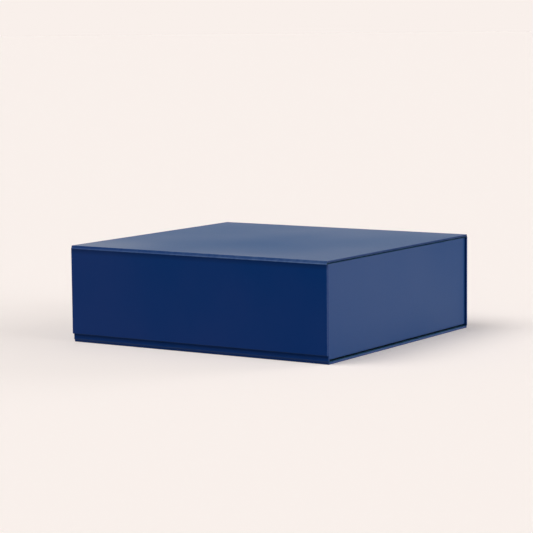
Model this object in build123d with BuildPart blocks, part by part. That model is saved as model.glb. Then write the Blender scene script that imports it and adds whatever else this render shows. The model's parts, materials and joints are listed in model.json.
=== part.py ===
from build123d import *
from math import atan2, degrees, hypot
import os

os.makedirs("parts", exist_ok=True)

# A paper-covered greyboard box with a lid that turns up at the back and a magnetic front flap.
# Millimetres. The closed box stands on z = 0 with its front towards -Y, and the origin is the
# middle of its footprint.

# Outside of the closed box
case_width = 337.0  # left to right, over the wrapped ends of the case panels
case_depth = 318.0  # outer face of the flap to outer face of the spine
case_height = 110.0  # underside of the base to the top of the lid

# Board and paper
board = 2.0  # greyboard of every panel
covering = 0.2  # coloured paper on the outside
lining = 0.2  # paper on the inside
turn_in = 4.0  # covering that shows round the edge of a lining
edge_radius = 0.6  # a wrapped edge

# Creases, where the paper alone bends between two panels
crease_run = 1.5  # the lid and the base stop this far short of the corner
crease_rise = 3.5  # the spine, the front wall and the flap stop this far short of it
crease_clearance = 0.05  # rounded edge of a strip to the panel beside it
crease_end_inset = 0.2  # crease strips stop short of the panels' wrapped ends

# Side walls, lid and flap
side_inset = 2.0  # side walls stand inside the ends of the case
side_groove = 2.2  # open groove between a side wall and the base
side_end_fit = 0.1  # end of a side wall to the front wall and to the spine
lid_gap = 1.2  # lid lining to the top edges of the walls
flap_gap = 0.15  # flap lining to the face of the front wall
flap_rise = 9.5  # lower edge of the flap above the floor

# Papers that hold the side walls
corner_card = 0.5  # thickness of a corner tab
corner_side_leg = 14.0  # glued to the side wall
corner_end_leg = 32.0  # glued to the front wall or the spine
corner_chamfer = 6.0
corner_top_margin = 5.0  # below the top of the walls
foot_paper = 0.3  # thickness of the paper along the foot of a side wall
foot_floor_leg = 11.0
foot_wall_leg = 12.0  # measured up from the lower edge of the wall
foot_to_corner = 1.0  # upright leg of that paper to the corner tabs above it

# Magnetic closure
magnet_radius = 7.5
magnet_thickness = 1.5
plate_radius = 7.5
plate_thickness = 1.0
pocket_clearance = 0.05
magnet_spread = 105.0  # either side of the middle
magnet_rise = 20.0  # above the lower edge of the flap

# Worked out from the sizes above
panel = covering + board + lining
strip_radius = (covering + lining) / 2
crease_slope = hypot(crease_run, crease_rise)  # from one fold line to the other
flat_depth = strip_radius * crease_slope / crease_run  # lid or base face to the middle of a strip's edge
upright_depth = strip_radius * crease_slope / crease_rise  # the same at an upright face
fold_reach = strip_radius + crease_clearance  # fold line to the edge of its panel
flap_face = -case_depth / 2
spine_face = case_depth / 2
wall_face = flap_face + panel + flap_gap
wall_top = case_height - panel - lid_gap
side_face = case_width / 2 - side_inset
side_foot = panel + side_groove
front_inside = wall_face + panel
spine_inside = spine_face - panel
side_inside = side_face - panel

# Middles of the crease strips' edges as (y, z). A strip's outer face runs from fold line to fold line.
lid_front_edge = (flap_face + crease_run, case_height - flat_depth)
flap_top_edge = (flap_face + upright_depth, case_height - crease_rise)
lid_back_edge = (spine_face - crease_run, case_height - flat_depth)
spine_top_edge = (spine_face - upright_depth, case_height - crease_rise)
spine_foot_edge = (spine_face - upright_depth, crease_rise)
base_back_edge = (spine_face - crease_run, flat_depth)
base_front_edge = (wall_face + crease_run, flat_depth)
front_foot_edge = (wall_face + upright_depth, crease_rise)


def save(piece, name):
    piece.part.label = name
    export_step(piece.part, f"parts/{name}.step")


def wrapped_edges(piece, face, fold_ends):
    # every edge except those on the ends that meet a crease
    return piece.edges().filter_by(
        lambda edge: round(face.to_local_coords(edge.center()).Y, 4) not in fold_ends
    )


def covered_panel(face, width, length, low_fold=False, high_fold=False):
    # One panel as board, covering and lining. face lies on the outer side with its normal
    # outwards, its X across the width and its Y along the length. A folded end meets a crease,
    # and there the lining turns down the end of the board; everywhere else the covering wraps it.
    low_wrap = lining if low_fold else covering
    high_wrap = lining if high_fold else covering
    low_turn = 0 if low_fold else turn_in
    high_turn = 0 if high_fold else turn_in
    board_low = -length / 2 + low_wrap
    board_high = length / 2 - high_wrap
    folds = [low_fold, high_fold]
    panel_folds = [round(y, 4) for y, fold in zip((-length / 2, length / 2), folds) if fold]
    board_folds = [round(y, 4) for y, fold in zip((board_low, board_high), folds) if fold]

    with BuildPart() as stiff:
        with BuildSketch(face.offset(-covering)):
            with Locations((0, (board_low + board_high) / 2)):
                Rectangle(width - 2 * covering, board_high - board_low)
        extrude(amount=-board)
        fillet(wrapped_edges(stiff, face, board_folds), edge_radius - covering)

    with BuildPart() as inner:
        with BuildSketch(face.offset(-covering - board)):
            with Locations((0, (low_turn - high_turn) / 2)):
                Rectangle(width - 2 * turn_in, length - low_turn - high_turn)
        extrude(amount=-lining)
        if low_fold or high_fold:
            with BuildSketch(face.offset(-covering)):
                if low_fold:
                    with Locations((0, -length / 2)):
                        Rectangle(width - 2 * turn_in, lining, align=(Align.CENTER, Align.MIN))
                if high_fold:
                    with Locations((0, length / 2)):
                        Rectangle(width - 2 * turn_in, lining, align=(Align.CENTER, Align.MAX))
            extrude(amount=-board - lining)

    with BuildPart() as outer:
        with BuildSketch(face):
            Rectangle(width, length)
        extrude(amount=-panel)
        fillet(wrapped_edges(outer, face, panel_folds), edge_radius)
        add(stiff.part, mode=Mode.SUBTRACT)
        add(inner.part, mode=Mode.SUBTRACT)

    return stiff, outer, inner


def crease_strip(first_edge, second_edge):
    # the paper between two panels: flat, with both long edges rounded
    run = second_edge[0] - first_edge[0]
    rise = second_edge[1] - first_edge[1]
    middle = (first_edge[0] + run / 2, first_edge[1] + rise / 2)
    with BuildPart() as strip:
        with BuildSketch(Plane.YZ):
            with Locations(middle):
                SlotCenterToCenter(hypot(run, rise), 2 * strip_radius, rotation=degrees(atan2(rise, run)))
        extrude(amount=case_width / 2 - crease_end_inset, both=True)
    return strip


def face_between(low, high, x_dir, z_dir):
    # plane in the middle of a panel whose face runs from low to high
    return Plane(origin=(Vector(*low) + Vector(*high)) / 2, x_dir=x_dir, z_dir=z_dir)


# Base
base_low = base_front_edge[0] + fold_reach
base_high = base_back_edge[0] - fold_reach
base_plane = face_between((0, base_low, 0), (0, base_high, 0), (-1, 0, 0), (0, 0, -1))
base_board, base_covering, floor_lining = covered_panel(
    base_plane, case_width, base_high - base_low, low_fold=True, high_fold=True
)

# Front wall
front_low = front_foot_edge[1] + fold_reach
front_plane = face_between((0, wall_face, front_low), (0, wall_face, wall_top), (1, 0, 0), (0, -1, 0))
front_panel_board, front_covering, front_lining = covered_panel(
    front_plane, case_width, wall_top - front_low, low_fold=True
)

# Spine
spine_low = spine_foot_edge[1] + fold_reach
spine_high = spine_top_edge[1] - fold_reach
spine_plane = face_between((0, spine_face, spine_low), (0, spine_face, spine_high), (-1, 0, 0), (0, 1, 0))
spine_board, spine_covering, spine_lining = covered_panel(
    spine_plane, case_width, spine_high - spine_low, low_fold=True, high_fold=True
)

# Lid
lid_low = lid_front_edge[0] + fold_reach
lid_high = lid_back_edge[0] - fold_reach
lid_plane = face_between((0, lid_low, case_height), (0, lid_high, case_height), (1, 0, 0), (0, 0, 1))
lid_board, lid_covering, lid_lining = covered_panel(
    lid_plane, case_width, lid_high - lid_low, low_fold=True, high_fold=True
)

# Flap
flap_high = flap_top_edge[1] - fold_reach
flap_plane = face_between((0, flap_face, flap_rise), (0, flap_face, flap_high), (1, 0, 0), (0, -1, 0))
flap_panel_board, flap_covering, flap_lining = covered_panel(
    flap_plane, case_width, flap_high - flap_rise, high_fold=True
)

# Side walls
side_depth = spine_inside - front_inside - 2 * side_end_fit
side_middle = (spine_inside + front_inside) / 2
right_plane = face_between(
    (side_face, side_middle, side_foot), (side_face, side_middle, wall_top), (0, 1, 0), (1, 0, 0)
)
left_plane = face_between(
    (-side_face, side_middle, side_foot), (-side_face, side_middle, wall_top), (0, -1, 0), (-1, 0, 0)
)
right_board, right_covering, right_lining = covered_panel(right_plane, side_depth, wall_top - side_foot)
left_board, left_covering, left_lining = covered_panel(left_plane, side_depth, wall_top - side_foot)

# Crease strips
lid_crease = crease_strip(spine_top_edge, lid_back_edge)
flap_crease = crease_strip(lid_front_edge, flap_top_edge)
base_back_crease = crease_strip(base_back_edge, spine_foot_edge)
base_front_crease = crease_strip(base_front_edge, front_foot_edge)

# Magnets sit in pockets open to the inner side of the flap board, behind its lining
magnet_height = flap_rise + magnet_rise
magnet_places = [(-magnet_spread, magnet_height), (magnet_spread, magnet_height)]
magnet_plane = Plane(origin=(0, flap_face + panel - lining, 0), x_dir=(1, 0, 0), z_dir=(0, -1, 0))

with BuildPart() as flap_board:
    add(flap_panel_board.part)
    with BuildSketch(magnet_plane):
        with Locations(*magnet_places):
            Circle(magnet_radius + pocket_clearance)
    extrude(amount=magnet_thickness, mode=Mode.SUBTRACT)

with BuildPart() as flap_magnets:
    with BuildSketch(magnet_plane):
        with Locations(*magnet_places):
            Circle(magnet_radius)
    extrude(amount=magnet_thickness)

# Steel plates sit in pockets open to the outer side of the front wall's board, behind its covering
plate_plane = Plane(origin=(0, wall_face + covering, 0), x_dir=(1, 0, 0), z_dir=(0, -1, 0))

with BuildPart() as front_board:
    add(front_panel_board.part)
    with BuildSketch(plate_plane):
        with Locations(*magnet_places):
            Circle(plate_radius + pocket_clearance)
    extrude(amount=-plate_thickness, mode=Mode.SUBTRACT)

with BuildPart() as catch_plates:
    with BuildSketch(plate_plane):
        with Locations(*magnet_places):
            Circle(plate_radius)
    extrude(amount=-plate_thickness)

# Papers along the feet of the side walls close the groove from inside
floor_top = panel
foot_paper_top = side_foot + foot_wall_leg

with BuildPart() as foot_papers:
    for side in (-1, 1):
        wall_x = side * side_inside
        floor_x = side * (side_inside - foot_floor_leg)
        upright_x = side * (side_inside - foot_paper)
        with BuildSketch(Plane.XZ.offset(-spine_inside + side_end_fit)):
            with BuildLine():
                Polyline(
                    (wall_x, floor_top),
                    (floor_x, floor_top),
                    (floor_x, floor_top + foot_paper),
                    (upright_x, floor_top + foot_paper),
                    (upright_x, foot_paper_top),
                    (wall_x, foot_paper_top),
                    close=True,
                )
            make_face()
        extrude(amount=side_depth)

# Corner tabs, one inside each upright corner
corner_low = foot_paper_top + foot_to_corner
corner_high = wall_top - corner_top_margin

with BuildPart() as corner_tabs:
    for side in (-1, 1):
        for end, end_inside in ((-1, front_inside), (1, spine_inside)):
            with BuildSketch(Plane.XY.offset(corner_low)):
                with Locations((side * side_inside, end_inside)):
                    Rectangle(
                        corner_end_leg,
                        corner_card,
                        align=(Align.MAX if side > 0 else Align.MIN, Align.MIN if end < 0 else Align.MAX),
                    )
                    Rectangle(
                        corner_card,
                        corner_side_leg,
                        align=(Align.MAX if side > 0 else Align.MIN, Align.MIN if end < 0 else Align.MAX),
                    )
            extrude(amount=corner_high - corner_low)
    free_ends = corner_tabs.edges().filter_by(Axis.Y).filter_by(
        lambda edge: abs(abs(edge.center().X) - (side_inside - corner_end_leg)) < corner_card / 2
    )
    chamfer(free_ends, corner_chamfer)

pieces = {
    "base_board": base_board,
    "base_covering": base_covering,
    "floor_lining": floor_lining,
    "front_board": front_board,
    "front_covering": front_covering,
    "front_lining": front_lining,
    "spine_board": spine_board,
    "spine_covering": spine_covering,
    "spine_lining": spine_lining,
    "lid_board": lid_board,
    "lid_covering": lid_covering,
    "lid_lining": lid_lining,
    "flap_board": flap_board,
    "flap_covering": flap_covering,
    "flap_lining": flap_lining,
    "left_board": left_board,
    "left_covering": left_covering,
    "left_lining": left_lining,
    "right_board": right_board,
    "right_covering": right_covering,
    "right_lining": right_lining,
    "lid_crease": lid_crease,
    "flap_crease": flap_crease,
    "base_back_crease": base_back_crease,
    "base_front_crease": base_front_crease,
    "flap_magnets": flap_magnets,
    "catch_plates": catch_plates,
    "foot_papers": foot_papers,
    "corner_tabs": corner_tabs,
}
for name, piece in pieces.items():
    save(piece, name)
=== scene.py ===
import json
from math import cos, radians, sin

import bmesh
import bpy
from mathutils import Matrix, Vector


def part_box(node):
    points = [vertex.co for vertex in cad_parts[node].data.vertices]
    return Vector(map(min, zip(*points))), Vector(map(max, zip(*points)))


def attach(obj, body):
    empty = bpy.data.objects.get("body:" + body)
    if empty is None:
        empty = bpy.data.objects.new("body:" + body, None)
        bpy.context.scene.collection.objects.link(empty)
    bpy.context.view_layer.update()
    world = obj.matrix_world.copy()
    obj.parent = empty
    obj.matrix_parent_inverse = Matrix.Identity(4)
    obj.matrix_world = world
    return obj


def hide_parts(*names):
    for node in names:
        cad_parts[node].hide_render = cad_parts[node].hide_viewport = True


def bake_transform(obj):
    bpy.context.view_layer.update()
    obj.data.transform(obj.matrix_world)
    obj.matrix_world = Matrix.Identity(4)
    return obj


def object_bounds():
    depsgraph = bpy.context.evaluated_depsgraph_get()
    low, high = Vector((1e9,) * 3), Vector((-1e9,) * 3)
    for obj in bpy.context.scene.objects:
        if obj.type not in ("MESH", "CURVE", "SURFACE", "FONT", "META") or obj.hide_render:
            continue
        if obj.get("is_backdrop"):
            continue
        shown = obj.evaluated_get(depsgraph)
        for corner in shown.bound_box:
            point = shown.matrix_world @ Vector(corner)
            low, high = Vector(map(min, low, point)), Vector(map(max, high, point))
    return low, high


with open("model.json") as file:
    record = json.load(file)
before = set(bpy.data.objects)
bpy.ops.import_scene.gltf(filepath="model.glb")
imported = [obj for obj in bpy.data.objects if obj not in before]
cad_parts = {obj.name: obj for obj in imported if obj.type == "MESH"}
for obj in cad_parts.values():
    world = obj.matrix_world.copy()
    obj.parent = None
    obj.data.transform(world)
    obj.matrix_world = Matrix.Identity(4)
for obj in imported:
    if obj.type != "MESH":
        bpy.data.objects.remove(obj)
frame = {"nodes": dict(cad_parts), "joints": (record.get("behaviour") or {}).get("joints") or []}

scene = bpy.context.scene
nodes = frame["nodes"]
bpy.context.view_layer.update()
mm = 0.001


# small helpers for node trees

def setSocket(tree, socket, value):
    # sets a value, or links another node's socket
    if isinstance(value, bpy.types.NodeSocket):
        tree.links.new(value, socket)
    else:
        socket.default_value = value


def addNode(tree, kind, inputs=None, **settings):
    node = tree.nodes.new(kind)
    for name, value in settings.items():
        setattr(node, name, value)
    for name, value in (inputs or {}).items():
        setSocket(tree, node.inputs[name], value)
    return node


def calc(tree, operation, first, second):
    return addNode(tree, "ShaderNodeMath", {0: first, 1: second}, operation=operation).outputs[0]


def vectorCalc(tree, operation, first, second=(0, 0, 0)):
    return addNode(tree, "ShaderNodeVectorMath", {0: first, 1: second}, operation=operation).outputs[0]


def separate(tree, vector):
    return addNode(tree, "ShaderNodeSeparateXYZ", {0: vector}).outputs


def mixColours(tree, share, first, second):
    # the colour sockets of a Mix node are its inputs 6 and 7 and its output 2
    node = addNode(tree, "ShaderNodeMix", data_type="RGBA")
    for index, value in ((0, share), (6, first), (7, second)):
        setSocket(tree, node.inputs[index], value)
    return node.outputs[2]


def spread(tree, value, low, high, newLow=0.0, newHigh=1.0, smooth=False):
    # moves the values from low to high onto those from newLow to newHigh
    ends = {"Value": value, "From Min": low, "From Max": high, "To Min": newLow, "To Max": newHigh}
    kind = "SMOOTHSTEP" if smooth else "LINEAR"
    return addNode(tree, "ShaderNodeMapRange", ends, interpolation_type=kind).outputs[0]


def colour(red, green, blue):
    # screen values from 0 to 255 as a linear colour
    linear = []
    for value in (red, green, blue):
        share = value / 255
        linear.append(share / 12.92 if share <= 0.04045 else ((share + 0.055) / 1.055) ** 2.4)
    return (*linear, 1.0)


def newMaterial(name):
    material = bpy.data.materials.new(name)
    material.use_nodes = True
    tree = material.node_tree
    tree.nodes.clear()
    shader = addNode(tree, "ShaderNodeBsdfPrincipled")
    addNode(tree, "ShaderNodeOutputMaterial", {"Surface": shader.outputs[0]})
    return material, tree, shader


# camera

viewpoint = {
    "place": (1.3103, -2.0466, 0.3593),
    "turn": -32.80,  # degrees, from looking along +Y
    "pitch": 6.577,  # degrees downwards
    "roll": -0.537,
    "lens": 143.73,  # mm
    "sensor": 36.0,  # mm
}


def makeCamera():
    turn, pitch, roll = (radians(viewpoint[key]) for key in ("turn", "pitch", "roll"))
    ahead = Vector((sin(turn) * cos(pitch), cos(turn) * cos(pitch), -sin(pitch)))
    level = Vector((cos(turn), -sin(turn), 0))
    upright = level.cross(ahead)
    across = cos(roll) * level + sin(roll) * upright
    upwards = cos(roll) * upright - sin(roll) * level
    lens = bpy.data.cameras.new("camera")
    lens.sensor_width = viewpoint["sensor"]
    lens.lens = viewpoint["lens"]
    camera = bpy.data.objects.new("camera", lens)
    rotation = Matrix((across, upwards, -ahead)).transposed().to_4x4()
    camera.matrix_world = Matrix.Translation(viewpoint["place"]) @ rotation
    scene.collection.objects.link(camera)
    scene.camera = camera


makeCamera()
print("camera placed")


# floor, world and lamps

studio = {
    "backdrop": colour(249, 240, 235),
    "floorRadius": 60.0,
    "floorSides": 96,
    "floorGlow": 0.18,  # part of the floor's look that takes no shadow
    "floorLight": 0.88,  # light that falls on the open floor, so that it comes out as the backdrop
    "floorBounce": 0.44,  # share of its light that the floor throws back on the box
    "worldLow": (0.30, 0.30, 0.30, 1),
    "worldHigh": (0.28, 0.28, 0.28, 1),
    "lamps": {
        "key": {"from": (-0.45, -0.60, 1.07), "strength": 1.67, "spread": 45},
        "backRight": {"from": (1.0, 1.4, 0.3), "strength": 1.25, "spread": 35},
        "right": {"from": (1.0, 0.1, 0.2), "strength": 1.37, "spread": 40},
    },
}


def paleRays(tree):
    # 1 for what is seen straight, through glass or as a reflection
    ray = addNode(tree, "ShaderNodeLightPath").outputs
    mirrored = calc(tree, "MAXIMUM", ray["Is Glossy Ray"], ray["Is Transmission Ray"])
    return calc(tree, "MAXIMUM", ray["Is Camera Ray"], mirrored)


def makeWorld():
    world = bpy.data.worlds.new("studio")
    world.use_nodes = True
    tree = world.node_tree
    tree.nodes.clear()
    height = separate(tree, addNode(tree, "ShaderNodeTexCoord").outputs["Generated"])[2]
    glow = mixColours(tree, spread(tree, height, 0.0, 1.0), studio["worldLow"], studio["worldHigh"])
    lighting = addNode(tree, "ShaderNodeBackground", {"Color": glow}).outputs[0]
    seen = addNode(tree, "ShaderNodeBackground", {"Color": studio["backdrop"]}).outputs[0]
    both = addNode(tree, "ShaderNodeMixShader", {0: paleRays(tree), 1: lighting, 2: seen})
    addNode(tree, "ShaderNodeOutputWorld", {"Surface": both.outputs[0]})
    scene.world = world


def makeLamps():
    for name, lamp in studio["lamps"].items():
        data = bpy.data.lights.new(name, "SUN")
        data.energy = lamp["strength"]
        data.angle = radians(lamp["spread"])
        obj = bpy.data.objects.new(name, data)
        obj.rotation_euler = Vector(lamp["from"]).to_track_quat("Z", "Y").to_euler()
        scene.collection.objects.link(obj)


def floorMaterial():
    material, tree, shader = newMaterial("paleFloor")
    backdrop, glow = studio["backdrop"], studio["floorGlow"]
    matte = (1 - glow) / studio["floorLight"]
    bright = [channel * matte for channel in backdrop[:3]] + [1.0]
    dim = [channel * studio["floorBounce"] for channel in bright[:3]] + [1.0]
    setSocket(tree, shader.inputs["Base Color"], mixColours(tree, paleRays(tree), dim, bright))
    shader.inputs["Roughness"].default_value = 1.0
    shader.inputs["Specular IOR Level"].default_value = 0.0
    seenGlow = calc(tree, "MULTIPLY", paleRays(tree), glow)
    lit = addNode(tree, "ShaderNodeEmission", {"Color": backdrop, "Strength": seenGlow}).outputs[0]
    both = addNode(tree, "ShaderNodeAddShader", {0: shader.outputs[0], 1: lit})
    setSocket(tree, tree.get_output_node("ALL").inputs["Surface"], both.outputs[0])
    return material


def makeFloor():
    mesh = bpy.data.meshes.new("floor")
    shape = bmesh.new()
    bmesh.ops.create_circle(
        shape, cap_ends=True, segments=studio["floorSides"], radius=studio["floorRadius"]
    )
    shape.to_mesh(mesh)
    shape.free()
    floor = bpy.data.objects.new("floor", mesh)
    scene.collection.objects.link(floor)
    mesh.materials.append(floorMaterial())
    floor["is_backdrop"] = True


makeWorld()
makeLamps()
makeFloor()
scene.view_settings.view_transform = "Standard"
print("studio ready")


# papers, board and metal

noiseSpan = (0.3, 0.7)  # most of a noise lies between these

covering = {
    "deep": colour(0, 50, 114),
    "pale": colour(16, 53, 116),
    "cloudSize": 150 * mm,  # clouds of the deep and the pale tone
    "paintedLightDrift": (0.0, 0.0),  # painted light: how much paler the tone is painted towards the panel's right end and its top, for light that falls unevenly over the panel
    "wornAndHighlight": colour(96, 124, 164),  # lighter colour along an edge: partly rubbed-off wear, partly a painted highlight where the rounded edge catches light
    "wearAndHighlightWidth": 0.9 * mm,
    "wearAndHighlightShare": 0.15,
    "paintedHighlightDrift": 0.0,  # painted highlight: how much more of the lighter edge colour is painted towards the panel's right end
    "wearAndHighlightPatch": 6 * mm,  # size of the patches that break up the lighter edge line
    "wearAndHighlightSpan": (0.35, 0.65),  # values of their noise from least to most lightened
    "wearAndHighlightLeast": 0.4,  # share of the lighter edge colour that is left between them
    "paintedEndShade": 0.0,  # painted shade: how much darker the paper is painted where it wraps the panel's ends
    "endWidth": (0.20 * mm, 0.05 * mm),  # how far from the end that starts, and where it is full
    # painted shade along the panel's top edge and along its foot
    "paintedTopShade": 0.0,
    "topWidth": 0.6 * mm,
    "paintedFootShade": 0.0,
    "footWidth": 0.6 * mm,
    "shadeDulling": 0.5,  # how much rougher the paper is in full painted shade
    "grainSize": 0.35 * mm,
    "grainDepth": 0.012 * mm,
    "grainStrength": 0.5,
    "grainRoughness": 0.04,  # how far the grain changes the roughness
    "bowSize": 140 * mm,  # slow waves of the board under the paper
    "bowDepth": 0.35 * mm,
    "bowRoughness": 0.03,  # how far the waves change the roughness
    "roughness": 0.5,
    "spots": (),  # where the paper shines more or less: x, y, size, change of roughness
    "ior": 1.42,
    "glossTint": (0.1, 0.1, 0.1, 1),  # the paper shines at a low angle and hardly at all straight on
    "sheen": 0.08,
    "sheenRoughness": 0.4,
    "sheenTint": (0.2, 1.0, 0.65, 1),
}
flapCovering = {
    **covering,
    "pale": colour(21, 53, 116),
    # painted light: the flap's tone is painted paler towards its left end and its foot
    "paintedLightDrift": (-0.5, -0.4),
    "wearAndHighlightShare": 0.2,
    # painted shade: darker over the flap's top 6 mm, under the fold, and in a line along its foot
    "paintedTopShade": 0.45,
    "topWidth": 6 * mm,
    "paintedFootShade": 0.75,
}
sideCovering = {
    **covering,
    # painted light: the side walls' paper is a little greener than the other panels', a lit copy of the
    # same paper for the light on the sides
    "deep": colour(0, 54, 114),
    "pale": colour(13, 57, 116),
    "sheen": 0.11,
    "wearAndHighlightShare": 0.0,
    # painted shade along the wall's top edge, under the lid
    "paintedTopShade": 0.6,
    "spots": ((0.1665, 0.16, 0.13, 0.10),),
}
lidCovering = {
    **covering,
    "sheen": 0.055,
    "wearAndHighlightShare": 0.3,
    # painted shade darkening the lid's end rims
    "paintedEndShade": 0.35,
    "spots": ((0.03, -0.03, 0.17, 0.08), (-0.18, -0.18, 0.15, -0.13), (0.06, -0.19, 0.07, -0.08)),
}
lining = {
    **covering,
    "deep": colour(4, 38, 92),
    "pale": colour(7, 41, 97),
    "roughness": 0.62,
    "wearAndHighlightShare": 0.1,
}
footPaper = {**lining, "wearAndHighlightShare": 0.0, "paintedEndShade": 0.93, "sheen": 0.0}  # painted shade: nearly black where it faces the groove under the side walls


def objectPlace(tree):
    return addNode(tree, "ShaderNodeTexCoord").outputs["Object"]


def noise(tree, place, size, detail=2.0, stretch=None):
    if stretch:
        place = addNode(tree, "ShaderNodeMapping", {"Vector": place, "Scale": stretch}).outputs[0]
    node = addNode(tree, "ShaderNodeTexNoise", {"Vector": place, "Scale": 1 / size, "Detail": detail})
    return node.outputs[0]


def edgeDistance(tree, place, low, high):
    # distance from a point on a panel to the nearest of its edges
    middle = (low + high) / 2
    half = (high - low) / 2
    offset = vectorCalc(tree, "ABSOLUTE", vectorCalc(tree, "SUBTRACT", place, middle))
    x, y, z = separate(tree, vectorCalc(tree, "SUBTRACT", half, offset))
    shallow = calc(tree, "MINIMUM", x, y)
    deep = calc(tree, "MAXIMUM", x, y)
    return calc(tree, "MAXIMUM", shallow, calc(tree, "MINIMUM", deep, z))


def paintedPaperShade(tree, place, finish, box):
    # painted shade: 0 on the open paper, and more towards the panel's ends, top and foot
    point = separate(tree, place)
    low, high = box
    start, full = finish["endWidth"]
    reach = calc(tree, "ABSOLUTE", point["X"], 0.0)
    end = spread(tree, reach, high.x - start, high.x - full, 0.0, finish["paintedEndShade"])
    top = spread(tree, point["Z"], high.z - finish["topWidth"], high.z, 0.0, finish["paintedTopShade"])
    foot = spread(tree, point["Z"], low.z + finish["footWidth"], low.z, 0.0, finish["paintedFootShade"])
    return calc(tree, "MAXIMUM", end, calc(tree, "MAXIMUM", top, foot))


def paperTone(tree, place, finish, box, paintedShade):
    paleness = spread(tree, noise(tree, place, finish["cloudSize"], detail=3.0), *noiseSpan)
    if not box:
        return mixColours(tree, paleness, finish["deep"], finish["pale"])
    low, high = box
    point = separate(tree, place)
    # painted light: the tone paler towards one end and the top or foot
    rightwards, upwards = finish["paintedLightDrift"]
    paintedLightDrift = spread(tree, point["X"], low.x, high.x, -rightwards, rightwards)
    paleness = calc(tree, "ADD", paleness, paintedLightDrift)
    paintedLightDrift = spread(tree, point["Z"], low.z, high.z, -upwards, upwards)
    paleness = calc(tree, "ADD", paleness, paintedLightDrift)
    tone = mixColours(tree, paleness, finish["deep"], finish["pale"])

    # lighter along the edges: partly wear, partly painted highlight
    near = spread(tree, edgeDistance(tree, place, low, high), finish["wearAndHighlightWidth"], 0.0, smooth=True)
    patches = noise(tree, place, finish["wearAndHighlightPatch"], detail=4.0)
    broken = spread(tree, patches, *finish["wearAndHighlightSpan"], finish["wearAndHighlightLeast"], 1.0)
    # painted highlight: more of it towards the right end
    more = spread(tree, point["X"], low.x, high.x, 1 - finish["paintedHighlightDrift"], 1 + finish["paintedHighlightDrift"])
    wearAndHighlight = calc(tree, "MULTIPLY", calc(tree, "MULTIPLY", near, broken), finish["wearAndHighlightShare"])
    tone = mixColours(tree, calc(tree, "MULTIPLY", wearAndHighlight, more), tone, finish["wornAndHighlight"])
    # painted shade: the tone darkened towards black
    return mixColours(tree, paintedShade, tone, (0, 0, 0, 1))


def paperRoughness(tree, place, finish, box, paintedShade, slow, grain):
    rough, waves = finish["roughness"], finish["bowRoughness"]
    roughness = spread(tree, slow, *noiseSpan, rough + waves, rough - waves)
    speckle = spread(tree, grain, *noiseSpan, -finish["grainRoughness"], finish["grainRoughness"])
    roughness = calc(tree, "ADD", roughness, speckle)
    if paintedShade:
        dulling = calc(tree, "MULTIPLY", paintedShade, finish["shadeDulling"])
        roughness = calc(tree, "ADD", roughness, dulling)
    for x, y, size, change in finish["spots"]:
        ends = {0: place, 1: (x, y, box[1].z)}
        reach = addNode(tree, "ShaderNodeVectorMath", ends, operation="DISTANCE")
        spot = spread(tree, reach.outputs["Value"], size, 0.0, 0.0, change, smooth=True)
        roughness = calc(tree, "ADD", roughness, spot)
    return roughness


def paperMaterial(name, finish, box=None):
    material, tree, shader = newMaterial(name)
    place = objectPlace(tree)
    grain = noise(tree, place, finish["grainSize"])
    slow = noise(tree, place, finish["bowSize"], detail=1.0)
    paintedShade = paintedPaperShade(tree, place, finish, box) if box else None
    bow = addNode(tree, "ShaderNodeBump", {"Height": slow, "Distance": finish["bowDepth"], "Strength": 1.0})
    fine = {
        "Height": grain,
        "Distance": finish["grainDepth"],
        "Strength": finish["grainStrength"],
        "Normal": bow.outputs[0],
    }
    links = {
        "Base Color": paperTone(tree, place, finish, box, paintedShade),
        "Roughness": paperRoughness(tree, place, finish, box, paintedShade, slow, grain),
        "Normal": addNode(tree, "ShaderNodeBump", fine).outputs[0],
        "IOR": finish["ior"],
        "Specular Tint": finish["glossTint"],
        "Sheen Weight": finish["sheen"],
        "Sheen Roughness": finish["sheenRoughness"],
        "Sheen Tint": finish["sheenTint"],
    }
    for socket, value in links.items():
        setSocket(tree, shader.inputs[socket], value)
    return material


greyboard = {
    "grey": colour(150, 146, 139),
    "fleck": colour(108, 103, 97),
    "fleckSize": 0.8 * mm,
    "fleckShape": (0.4, 0.4, 3.0),  # long in the sheet, short through it
    "fleckSpan": (0.5, 0.7),
    "fibreDepth": 0.05 * mm,
    "fibreStrength": 0.6,
    "roughness": 0.9,
}


def boardMaterial():
    material, tree, shader = newMaterial("greyboard")
    place = objectPlace(tree)
    fibres = noise(tree, place, greyboard["fleckSize"], detail=4.0, stretch=greyboard["fleckShape"])
    flecks = spread(tree, fibres, *greyboard["fleckSpan"])
    bump = {
        "Height": fibres,
        "Distance": greyboard["fibreDepth"],
        "Strength": greyboard["fibreStrength"],
    }
    tone = mixColours(tree, flecks, greyboard["grey"], greyboard["fleck"])
    setSocket(tree, shader.inputs["Base Color"], tone)
    setSocket(tree, shader.inputs["Normal"], addNode(tree, "ShaderNodeBump", bump).outputs[0])
    shader.inputs["Roughness"].default_value = greyboard["roughness"]
    return material


metals = {
    "magnet": {"tint": colour(205, 205, 208), "roughness": 0.18, "scratch": 0.05, "stretch": (1, 1, 1)},
    "plate": {"tint": colour(176, 178, 181), "roughness": 0.38, "scratch": 0.15, "stretch": (0.1, 1, 8)},
}
scratchSize = 0.5 * mm


def metalMaterial(name):
    finish = metals[name]
    material, tree, shader = newMaterial(name)
    marks = noise(tree, objectPlace(tree), scratchSize, detail=3.0, stretch=finish["stretch"])
    rough, scratch = finish["roughness"], finish["scratch"]
    roughness = spread(tree, marks, *noiseSpan, rough - scratch, rough + scratch)
    setSocket(tree, shader.inputs["Roughness"], roughness)
    shader.inputs["Base Color"].default_value = finish["tint"]
    shader.inputs["Metallic"].default_value = 1.0
    return material


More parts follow.
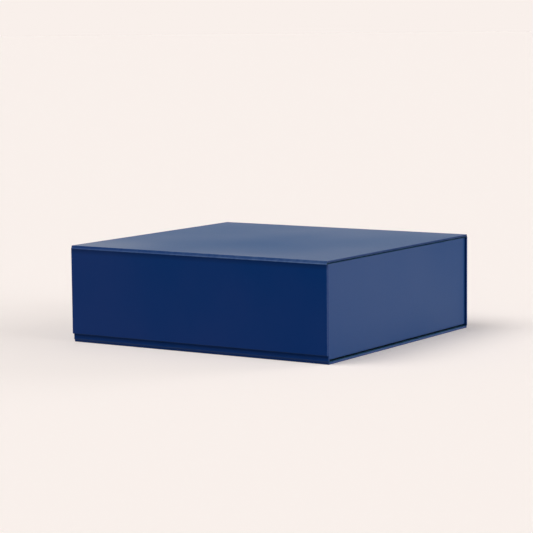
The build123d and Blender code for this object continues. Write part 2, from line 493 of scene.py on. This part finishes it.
# pieces whose paper is chosen by their name; the others get theirs by the name's ending
ownPapers = {
    "lid_covering": lidCovering,
    "flap_covering": flapCovering,
    "left_covering": sideCovering,
    "right_covering": sideCovering,
    "foot_papers": footPaper,
    "corner_tabs": lining,
}


def dress(name, material):
    slots = nodes[name].data.materials
    slots.clear()
    slots.append(material)


def dressPieces():
    board = boardMaterial()
    for name in nodes:
        if name.endswith("_board"):
            dress(name, board)
        elif name in ownPapers:
            dress(name, paperMaterial(name, ownPapers[name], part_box(name)))
        elif name.endswith("_covering"):
            dress(name, paperMaterial(name, covering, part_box(name)))
        elif name.endswith("_lining"):
            dress(name, paperMaterial(name, lining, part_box(name)))
    dress("flap_magnets", metalMaterial("magnet"))
    dress("catch_plates", metalMaterial("plate"))


dressPieces()
print("papers, board and metal ready")


# the paper folded between two panels

fold = {
    "radius": 0.6 * mm,  # outside radius of a bend, or less where there is no room for it
    "bendSteps": 12,
    "thickness": 0.4 * mm,  # covering and lining together
    "endInset": 0.2 * mm,
    "across": 41,  # points over the fold, from panel to panel
    "along": 169,
    "unevenness": 0.05 * mm,
    "ripples": 45.0,  # per metre
    "rippleLevel": 0.6,  # a ripple of this height leaves the paper in place, and a lower one sinks it
    "hollow": (0.80 * mm, 2.5 * mm),  # the bottom of the hollow, across and down from the flat panel
    "sharpAngle": 40,  # degrees
    "weld": 0.001 * mm,
}
baseFoldPaper = {**covering, "wearAndHighlightShare": 0.0, "roughness": 0.42}
lidFoldPaper = {
    **covering,
    # painted highlight: the fold band is painted paler over its width, more so towards its right end, where
    # it catches more light
    "wearAndHighlightWidth": 4 * mm,
    "wearAndHighlightShare": 0.24,
    "paintedHighlightDrift": 0.95,
    "sheen": 0.12,
    "roughness": 0.42,
    "glossTint": (0.2, 0.3, 0.4, 1),
}


def foldTree():
    tree = bpy.data.node_groups.new("paperFold", "GeometryNodeTree")
    face = tree.interface
    face.new_socket("Geometry", in_out="OUTPUT", socket_type="NodeSocketGeometry")
    face.new_socket("Geometry", in_out="INPUT", socket_type="NodeSocketGeometry")
    for name in ("Width", "Radius", "Thickness", "Unevenness"):
        face.new_socket(name, in_out="INPUT", socket_type="NodeSocketFloat")
    for name in ("Across", "Along"):
        face.new_socket(name, in_out="INPUT", socket_type="NodeSocketInt")
    face.new_socket("Material", in_out="INPUT", socket_type="NodeSocketMaterial")
    given = tree.nodes.new("NodeGroupInput").outputs

    # the corner line of the fold, with its bends rounded
    line = addNode(tree, "GeometryNodeMeshToCurve", {"Mesh": given["Geometry"]}).outputs[0]
    rounding = {"Curve": line, "Radius": given["Radius"], "Count": fold["bendSteps"], "Limit Radius": True}
    bends = addNode(tree, "GeometryNodeFilletCurve", rounding, mode="POLY").outputs[0]

    # a flat grid laid along that line and across the box
    counts = {"Vertices X": given["Along"], "Vertices Y": given["Across"]}
    flat = addNode(tree, "GeometryNodeMeshGrid", {"Size X": given["Width"], "Size Y": 1.0, **counts})
    point = separate(tree, addNode(tree, "GeometryNodeInputPosition").outputs[0])
    factor = calc(tree, "ADD", point["Y"], 0.5)  # from 0 at one panel to 1 at the other
    sample = addNode(tree, "GeometryNodeSampleCurve", {"Curves": bends, "Factor": factor}, mode="FACTOR")
    sideways = addNode(tree, "ShaderNodeCombineXYZ", {"X": point["X"]}).outputs[0]
    laid = vectorCalc(tree, "ADD", sample.outputs["Position"], sideways)

    # a little unevenness in the middle of the fold, none where the paper meets a panel
    ripple = addNode(tree, "ShaderNodeTexNoise", {"Vector": laid, "Scale": fold["ripples"]}).outputs[0]
    inwards = calc(tree, "MULTIPLY", factor, calc(tree, "SUBTRACT", 1.0, factor))
    middle = calc(tree, "MULTIPLY", inwards, 4.0)  # 1 half way over
    most = calc(tree, "MULTIPLY", middle, given["Unevenness"])
    height = calc(tree, "MULTIPLY", calc(tree, "SUBTRACT", ripple, fold["rippleLevel"]), most)
    outwards = vectorCalc(tree, "CROSS_PRODUCT", (1, 0, 0), sample.outputs["Tangent"])
    rise = addNode(tree, "ShaderNodeVectorMath", {0: outwards, "Scale": height}, operation="SCALE")
    place = vectorCalc(tree, "ADD", laid, rise.outputs[0])
    shaped = {"Geometry": flat.outputs["Mesh"], "Position": place}
    outer = addNode(tree, "GeometryNodeSetPosition", shaped).outputs[0]

    # the paper's thickness
    depth = calc(tree, "MULTIPLY", given["Thickness"], -1.0)
    thicken = {"Mesh": outer, "Offset Scale": depth, "Individual": False}
    back = addNode(tree, "GeometryNodeExtrudeMesh", thicken, mode="FACES").outputs["Mesh"]
    turned = addNode(tree, "GeometryNodeFlipFaces", {"Mesh": back}).outputs[0]
    joined = tree.nodes.new("GeometryNodeJoinGeometry")
    for sheet in (turned, outer):
        tree.links.new(sheet, joined.inputs[0])
    welded = {"Geometry": joined.outputs[0], "Distance": fold["weld"]}
    whole = addNode(tree, "GeometryNodeMergeByDistance", welded).outputs[0]
    real = addNode(tree, "GeometryNodeRealizeInstances", {"Geometry": whole}).outputs[0]
    dressed = {"Geometry": real, "Material": given["Material"]}
    finished = addNode(tree, "GeometryNodeSetMaterial", dressed).outputs[0]
    output = tree.nodes.new("NodeGroupOutput")
    tree.links.new(finished, output.inputs[0])
    return tree


def meshFromTree(name, base, tree, values):
    # runs a tree on a mesh and keeps the result as a plain object
    start = bpy.data.objects.new(name + "Start", base)
    scene.collection.objects.link(start)
    modifier = start.modifiers.new(name, "NODES")
    modifier.node_group = tree
    for item in tree.interface.items_tree:
        if item.in_out == "INPUT" and item.name in values:
            modifier[item.identifier] = values[item.name]
    depsgraph = bpy.context.evaluated_depsgraph_get()
    mesh = bpy.data.meshes.new_from_object(start.evaluated_get(depsgraph))
    bpy.data.objects.remove(start)
    shape = bmesh.new()
    shape.from_mesh(mesh)
    bmesh.ops.recalc_face_normals(shape, faces=shape.faces)
    shape.to_mesh(mesh)
    shape.free()
    mesh.shade_smooth()
    mesh.set_sharp_from_angle(angle=radians(fold["sharpAngle"]))
    obj = bpy.data.objects.new(name, mesh)
    scene.collection.objects.link(obj)
    return obj


paperFold = foldTree()
caseLow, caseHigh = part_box("lid_covering")


def foldPiece(name, node, paper, corners):
    # corners: the end of one panel, its fold line, the hollow and the next fold line, the end of the next
    base = bpy.data.meshes.new(name)
    base.from_pydata([(0, y, z) for y, z in corners], [(i, i + 1) for i in range(len(corners) - 1)], [])
    values = {
        "Width": caseHigh.x - caseLow.x - 2 * fold["endInset"],
        "Radius": fold["radius"],
        "Thickness": fold["thickness"],
        "Unevenness": fold["unevenness"],
        "Across": fold["across"],
        "Along": fold["along"],
        "Material": paper,
    }
    obj = meshFromTree(name, base, paperFold, values)
    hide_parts(node)
    return obj


def makeFolds():
    baseLow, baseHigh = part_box("base_covering")
    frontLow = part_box("front_covering")[0]
    spineLow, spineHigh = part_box("spine_covering")
    flapLow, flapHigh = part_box("flap_covering")
    lidHinge, flapHinge = (Vector(joint["pos_m"]) for joint in frame["joints"])
    top = caseHigh.z
    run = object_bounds()[1].y - lidHinge.y  # how far a fold reaches across the flat panel's end
    rise = top - flapHinge.z  # and how far up or down to the upright panel's edge
    across, down = fold["hollow"]
    basePaper = paperMaterial("baseFoldPaper", baseFoldPaper)
    lidPaper = paperMaterial("lidFoldPaper", lidFoldPaper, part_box("flap_crease"))

    lidFold = foldPiece(
        "lidFold", "lid_crease", lidPaper,
        [
            (caseHigh.y, top), (lidHinge.y, top), (lidHinge.y + across, top - down),
            (spineHigh.y, top - rise), (spineHigh.y, spineHigh.z),
        ],
    )
    flapFold = foldPiece(
        "flapFold", "flap_crease", lidPaper,
        [
            (flapLow.y, flapHigh.z), (flapLow.y, flapHinge.z), (flapLow.y + run - across, top - down),
            (flapLow.y + run, top), (caseLow.y, top),
        ],
    )
    baseBackFold = foldPiece(
        "baseBackFold", "base_back_crease", basePaper,
        [
            (spineHigh.y, spineLow.z), (spineHigh.y, rise), (lidHinge.y + across, down),
            (lidHinge.y, 0), (baseHigh.y, 0),
        ],
    )
    baseFrontFold = foldPiece(
        "baseFrontFold", "base_front_crease", basePaper,
        [
            (baseLow.y, 0), (frontLow.y + run, 0), (frontLow.y + run - across, down),
            (frontLow.y, rise), (frontLow.y, frontLow.z),
        ],
    )

    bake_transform(lidFold)
    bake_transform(flapFold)
    for obj in (baseBackFold, baseFrontFold):
        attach(obj, "box")


makeFolds()
print("folds made")
